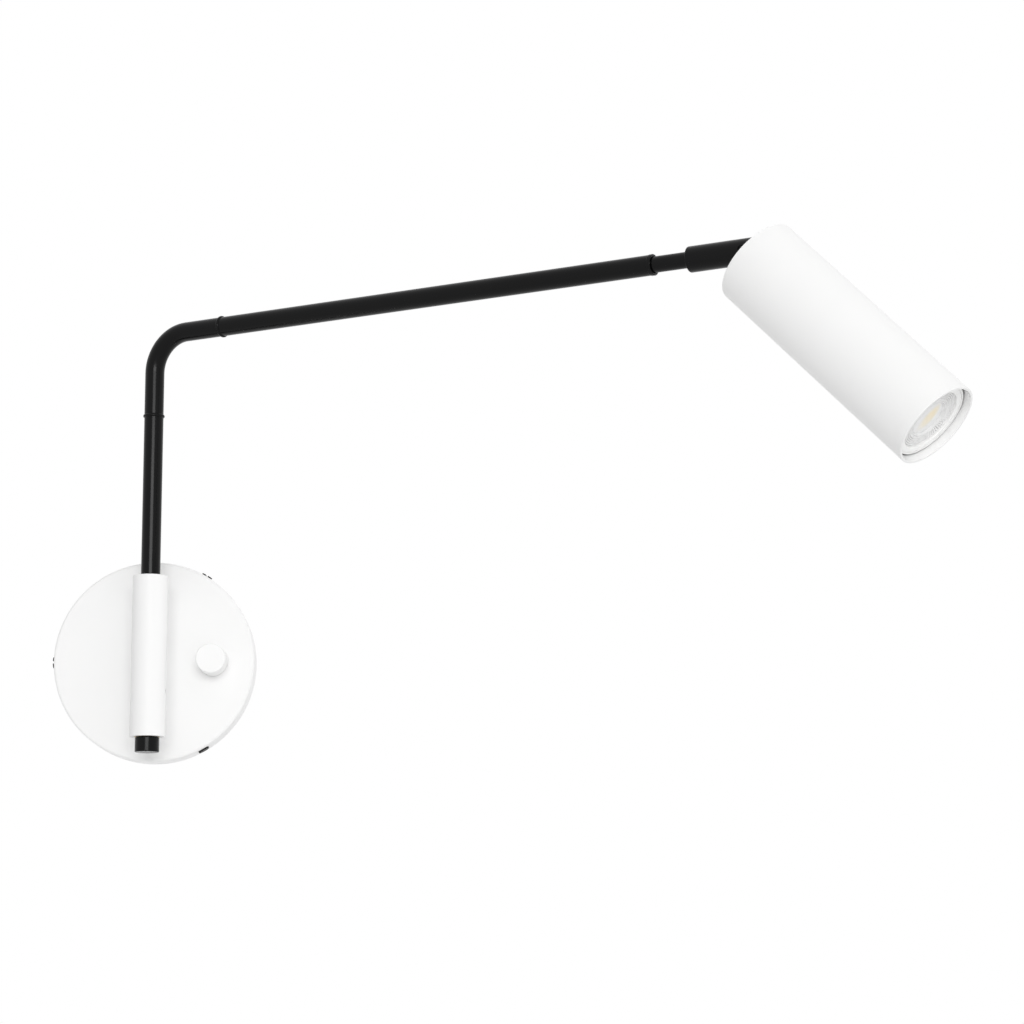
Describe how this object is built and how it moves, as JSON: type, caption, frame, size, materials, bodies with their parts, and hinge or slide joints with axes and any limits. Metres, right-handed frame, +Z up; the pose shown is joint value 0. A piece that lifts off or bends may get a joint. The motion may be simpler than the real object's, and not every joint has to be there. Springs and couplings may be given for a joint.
{
  "type": "swing arm wall sconce",
  "caption": "Wall sconce with a round canopy and dimmer knob, an upright barrel, a bent tubular swing arm and a slim cylinder spotlight head that turns and tilts.",
  "frame": {"origin": "centre of the canopy's open back, on the wall", "axes": "+Z up the wall, -Y out from the wall towards the room, +X to the right seen from the room"},
  "size_m": [0.5691, 0.3498, 0.2938],
  "materials": {
    "white_paint": "matte white powder coat",
    "black_paint": "satin black powder coat",
    "zinc_steel": "zinc plated",
    "black_steel": "black oxide",
    "brass": "turned",
    "nylon": "natural nylon",
    "dimmer_plastic": "moulded",
    "terminal_plastic": "moulded",
    "cable_sheath": "matte sheath",
    "rubber": "matte",
    "ceramic": "unglazed steatite",
    "lamp_plastic": "satin white",
    "lens_clear": "clear moulded acrylic",
    "led_metal": "white solder mask over aluminium",
    "led_phosphor": "yellow phosphor over the LED chips"
  },
  "bodies": {
    "base": {"canopy": "white_paint", "wall_bracket": "zinc_steel", "rim_screws": "black_steel", "earth_screw": "brass", "terminal_block": "terminal_plastic", "standoff": "white_paint", "standoff_nipple": "brass", "lock_washer": "zinc_steel", "lock_nut": "zinc_steel", "supply_cable": "cable_sheath", "dimmer_body": "dimmer_plastic", "dimmer_bush": "brass", "dimmer_washer": "zinc_steel", "dimmer_nut": "zinc_steel", "barrel": "white_paint", "upper_bush": "brass", "lower_bush": "brass", "tension_screw": "black_steel", "tension_pad": "nylon"},
    "dimmer_knob": {"knob": "white_paint", "dimmer_shaft": "zinc_steel"},
    "arm": {"upright_tube": "black_paint", "thrust_collar": "zinc_steel", "end_cap": "black_paint", "lower_bead_ring": "black_paint", "lower_nipple": "brass", "elbow_tube": "black_paint", "upper_bead_ring": "black_paint", "upper_nipple": "brass", "arm_tube": "black_paint", "arm_end_ring": "black_paint", "neck_tube": "black_paint", "neck_clip": "zinc_steel", "arm_cable": "cable_sheath"},
    "swivel": {"swivel_sleeve": "black_paint", "hinge_pin": "zinc_steel", "friction_washers": "nylon"},
    "head": {"hinge_tongue": "black_paint", "stud_washer": "zinc_steel", "stud_nut": "zinc_steel", "head_shell": "white_paint", "lead_grommet": "rubber", "head_cable": "cable_sheath", "holder_strap": "zinc_steel", "holder_screws": "zinc_steel", "lamp_holder": "ceramic", "lamp_pins": "brass", "lamp_body": "lamp_plastic", "lamp_ring": "lamp_plastic", "lamp_lens": "lens_clear", "led_board": "led_metal", "led_chip": "led_phosphor"}
  },
  "joints": [
    {"name": "arm_swing", "type": "hinge", "parent": "base", "child": "arm", "pos_m": [0, -0.04705, 0], "axis": [0, 0, -1], "range_deg": [-30, 150]},
    {"name": "head_turn", "type": "hinge", "parent": "arm", "child": "swivel", "pos_m": [0.34494, -0.2462, 0.215], "axis": [0.866, -0.5, 0], "range_deg": [-165, 165]},
    {"name": "head_tilt", "type": "hinge", "parent": "swivel", "child": "head", "pos_m": [0.37741, -0.26495, 0.215], "axis": [0.5, 0.866, 0], "range_deg": [-135, 45]},
    {"name": "dimmer_turn", "type": "hinge", "parent": "base", "child": "dimmer_knob", "pos_m": [0.0393, -0.01905, 0], "axis": [0, 1, 0], "range_deg": [0, 280]}
  ]
}
